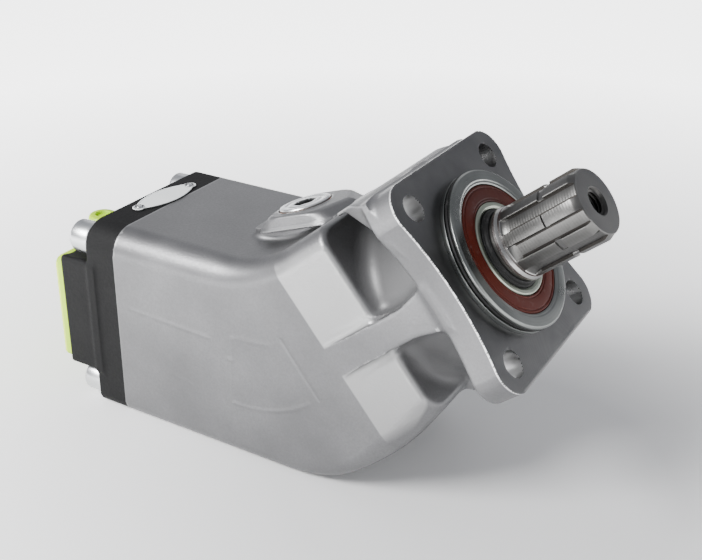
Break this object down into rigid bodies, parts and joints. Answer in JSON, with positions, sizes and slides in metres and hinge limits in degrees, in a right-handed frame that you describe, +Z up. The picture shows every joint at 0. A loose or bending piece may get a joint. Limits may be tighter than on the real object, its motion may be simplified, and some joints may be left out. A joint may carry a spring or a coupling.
{
  "type": "axial piston pump",
  "caption": "Bent-axis axial piston pump: cast angled housing, square pilot flange with splined drive shaft, bolted rear port head, and working barrel with pistons inside.",
  "frame": {"origin": "centre of the mounting flange's face, on the shaft axis", "axes": "+X from the end cap towards the shaft end, along the barrel axis; +Z up; the shaft axis lies in the XZ plane, 40 degrees above +X; -Y is the suction side"},
  "size_m": [0.2867, 0.109, 0.1723],
  "materials": {
    "cast_aluminium": "satin as-cast and blasted",
    "black_iron": "matte charcoal coating",
    "zinc_plated_steel": "bright zinc",
    "silver_foil_plate": "matt anodised",
    "bright_rivet": "bright",
    "lime_plastic": "moulded, slightly glossy",
    "ground_steel": "ground and oiled",
    "machined_steel": "turned",
    "bearing_steel": "ground",
    "spring_steel": "oiled wire",
    "bronze": "machined bronze",
    "piston_steel": "ground and polished",
    "ring_iron": "ground",
    "red_seal_rubber": "satin red-brown",
    "black_rubber": "oiled black",
    "seal_ring_metal": "satin",
    "copper_washer": "soft copper"
  },
  "bodies": {
    "casing": {"housing": "cast_aluminium", "end_cap": "black_iron", "valve_plate": "bronze", "valve_plate_pin": "machined_steel", "barrel_journal": "machined_steel", "end_cap_o_ring": "black_rubber", "end_cap_screws": "zinc_plated_steel", "nameplate": "silver_foil_plate", "nameplate_rivets": "bright_rivet", "rear_bearing_cup": "bearing_steel", "front_bearing_cup": "bearing_steel", "bearing_cup_spacer": "machined_steel", "bearing_retaining_ring": "machined_steel", "seal_carrier": "machined_steel", "carrier_o_ring": "black_rubber", "pilot_o_ring": "black_rubber", "shaft_seal": "red_seal_rubber", "seal_support_ring": "seal_ring_metal", "dust_lip": "black_rubber", "drain_plug": "zinc_plated_steel", "drain_plug_seal": "copper_washer"},
    "shaft": {"drive_shaft": "ground_steel", "drive_plate": "machined_steel", "ball_retainer_plate": "machined_steel", "retainer_screws": "machined_steel", "drive_plate_nut": "machined_steel", "rear_bearing_cone": "bearing_steel", "front_bearing_cone": "bearing_steel", "bearing_nut": "machined_steel"},
    "barrel": {"cylinder_barrel": "machined_steel", "barrel_timing_gear": "machined_steel", "barrel_needle_bearing": "bearing_steel", "barrel_spring": "spring_steel", "centre_pin": "machined_steel"},
    "rear_roller_set": {"rear_bearing_rollers": "bearing_steel"},
    "front_roller_set": {"front_bearing_rollers": "bearing_steel"},
    "port_cover": {"port_cover": "lime_plastic"},
    "gauge_port_plug": {"gauge_port_plug": "lime_plastic"},
    "socket_bush_1": {"socket_bush_1": "bronze"},
    "piston_1": {"piston_1": "piston_steel", "piston_ring_1": "ring_iron"},
    "socket_bush_2": {"socket_bush_2": "bronze"},
    "piston_2": {"piston_2": "piston_steel", "piston_ring_2": "ring_iron"},
    "socket_bush_3": {"socket_bush_3": "bronze"},
    "piston_3": {"piston_3": "piston_steel", "piston_ring_3": "ring_iron"},
    "socket_bush_4": {"socket_bush_4": "bronze"},
    "piston_4": {"piston_4": "piston_steel", "piston_ring_4": "ring_iron"},
    "socket_bush_5": {"socket_bush_5": "bronze"},
    "piston_5": {"piston_5": "piston_steel", "piston_ring_5": "ring_iron"},
    "socket_bush_6": {"socket_bush_6": "bronze"},
    "piston_6": {"piston_6": "piston_steel", "piston_ring_6": "ring_iron"},
    "socket_bush_7": {"socket_bush_7": "bronze"},
    "piston_7": {"piston_7": "piston_steel", "piston_ring_7": "ring_iron"}
  },
  "joints": [
    {"name": "shaft_spin", "type": "hinge", "parent": "casing", "child": "shaft", "pos_m": [0, 0, 0], "axis": [0.766, 0, 0.6428], "continuous": true},
    {"name": "barrel_spin", "type": "hinge", "parent": "casing", "child": "barrel", "pos_m": [-0.08426, 0, -0.07071], "axis": [1, 0, 0], "continuous": true},
    {"name": "rear_roller_orbit", "type": "hinge", "parent": "casing", "child": "rear_roller_set", "pos_m": [0, 0, 0], "axis": [0.766, 0, 0.6428], "continuous": true},
    {"name": "front_roller_orbit", "type": "hinge", "parent": "casing", "child": "front_roller_set", "pos_m": [0, 0, 0], "axis": [0.766, 0, 0.6428], "continuous": true},
    {"name": "port_cover_pull", "type": "slide", "parent": "casing", "child": "port_cover", "axis": [-1, 0, 0], "range_m": [0, 0.03]},
    {"name": "gauge_plug_pull", "type": "slide", "parent": "casing", "child": "gauge_port_plug", "axis": [0, 0, 1], "range_m": [0, 0.03]},
    {"name": "bush_1_turn", "type": "hinge", "parent": "shaft", "child": "socket_bush_1", "pos_m": [-0.10548, 0, -0.04543], "axis": [0.766, 0, 0.6428], "continuous": true},
    {"name": "piston_1_swing", "type": "hinge", "parent": "socket_bush_1", "child": "piston_1", "pos_m": [-0.10548, 0, -0.04543], "axis": [1, 0, 0], "continuous": true},
    {"name": "bush_2_turn", "type": "hinge", "parent": "shaft", "child": "socket_bush_2", "pos_m": [-0.09749, -0.0258, -0.05495], "axis": [0.766, 0, 0.6428], "continuous": true},
    {"name": "piston_2_swing", "type": "hinge", "parent": "socket_bush_2", "child": "piston_2", "pos_m": [-0.09749, -0.0258, -0.05495], "axis": [1, 0, 0], "continuous": true},
    {"name": "bush_3_turn", "type": "hinge", "parent": "shaft", "child": "socket_bush_3", "pos_m": [-0.07954, -0.03217, -0.07633], "axis": [0.766, 0, 0.6428], "continuous": true},
    {"name": "piston_3_swing", "type": "hinge", "parent": "socket_bush_3", "child": "piston_3", "pos_m": [-0.07954, -0.03217, -0.07633], "axis": [1, 0, 0], "continuous": true},
    {"name": "bush_4_turn", "type": "hinge", "parent": "shaft", "child": "socket_bush_4", "pos_m": [-0.06515, -0.01432, -0.09348], "axis": [0.766, 0, 0.6428], "continuous": true},
    {"name": "piston_4_swing", "type": "hinge", "parent": "socket_bush_4", "child": "piston_4", "pos_m": [-0.06515, -0.01432, -0.09348], "axis": [1, 0, 0], "continuous": true},
    {"name": "bush_5_turn", "type": "hinge", "parent": "shaft", "child": "socket_bush_5", "pos_m": [-0.06515, 0.01432, -0.09348], "axis": [0.766, 0, 0.6428], "continuous": true},
    {"name": "piston_5_swing", "type": "hinge", "parent": "socket_bush_5", "child": "piston_5", "pos_m": [-0.06515, 0.01432, -0.09348], "axis": [1, 0, 0], "continuous": true},
    {"name": "bush_6_turn", "type": "hinge", "parent": "shaft", "child": "socket_bush_6", "pos_m": [-0.07954, 0.03217, -0.07633], "axis": [0.766, 0, 0.6428], "continuous": true},
    {"name": "piston_6_swing", "type": "hinge", "parent": "socket_bush_6", "child": "piston_6", "pos_m": [-0.07954, 0.03217, -0.07633], "axis": [1, 0, 0], "continuous": true},
    {"name": "bush_7_turn", "type": "hinge", "parent": "shaft", "child": "socket_bush_7", "pos_m": [-0.09749, 0.0258, -0.05495], "axis": [0.766, 0, 0.6428], "continuous": true},
    {"name": "piston_7_swing", "type": "hinge", "parent": "socket_bush_7", "child": "piston_7", "pos_m": [-0.09749, 0.0258, -0.05495], "axis": [1, 0, 0], "continuous": true}
  ],
  "couplings": [
    {"joint": "barrel_spin", "follows": "shaft_spin", "ratio": 1},
    {"joint": "rear_roller_orbit", "follows": "shaft_spin", "ratio": 0.43},
    {"joint": "front_roller_orbit", "follows": "shaft_spin", "ratio": 0.43},
    {"joint": "bush_1_turn", "follows": "shaft_spin", "ratio": -1},
    {"joint": "piston_1_swing", "follows": "shaft_spin", "ratio": -1},
    {"joint": "bush_2_turn", "follows": "shaft_spin", "ratio": -1},
    {"joint": "piston_2_swing", "follows": "shaft_spin", "ratio": -1},
    {"joint": "bush_3_turn", "follows": "shaft_spin", "ratio": -1},
    {"joint": "piston_3_swing", "follows": "shaft_spin", "ratio": -1},
    {"joint": "bush_4_turn", "follows": "shaft_spin", "ratio": -1},
    {"joint": "piston_4_swing", "follows": "shaft_spin", "ratio": -1},
    {"joint": "bush_5_turn", "follows": "shaft_spin", "ratio": -1},
    {"joint": "piston_5_swing", "follows": "shaft_spin", "ratio": -1},
    {"joint": "bush_6_turn", "follows": "shaft_spin", "ratio": -1},
    {"joint": "piston_6_swing", "follows": "shaft_spin", "ratio": -1},
    {"joint": "bush_7_turn", "follows": "shaft_spin", "ratio": -1},
    {"joint": "piston_7_swing", "follows": "shaft_spin", "ratio": -1}
  ]
}
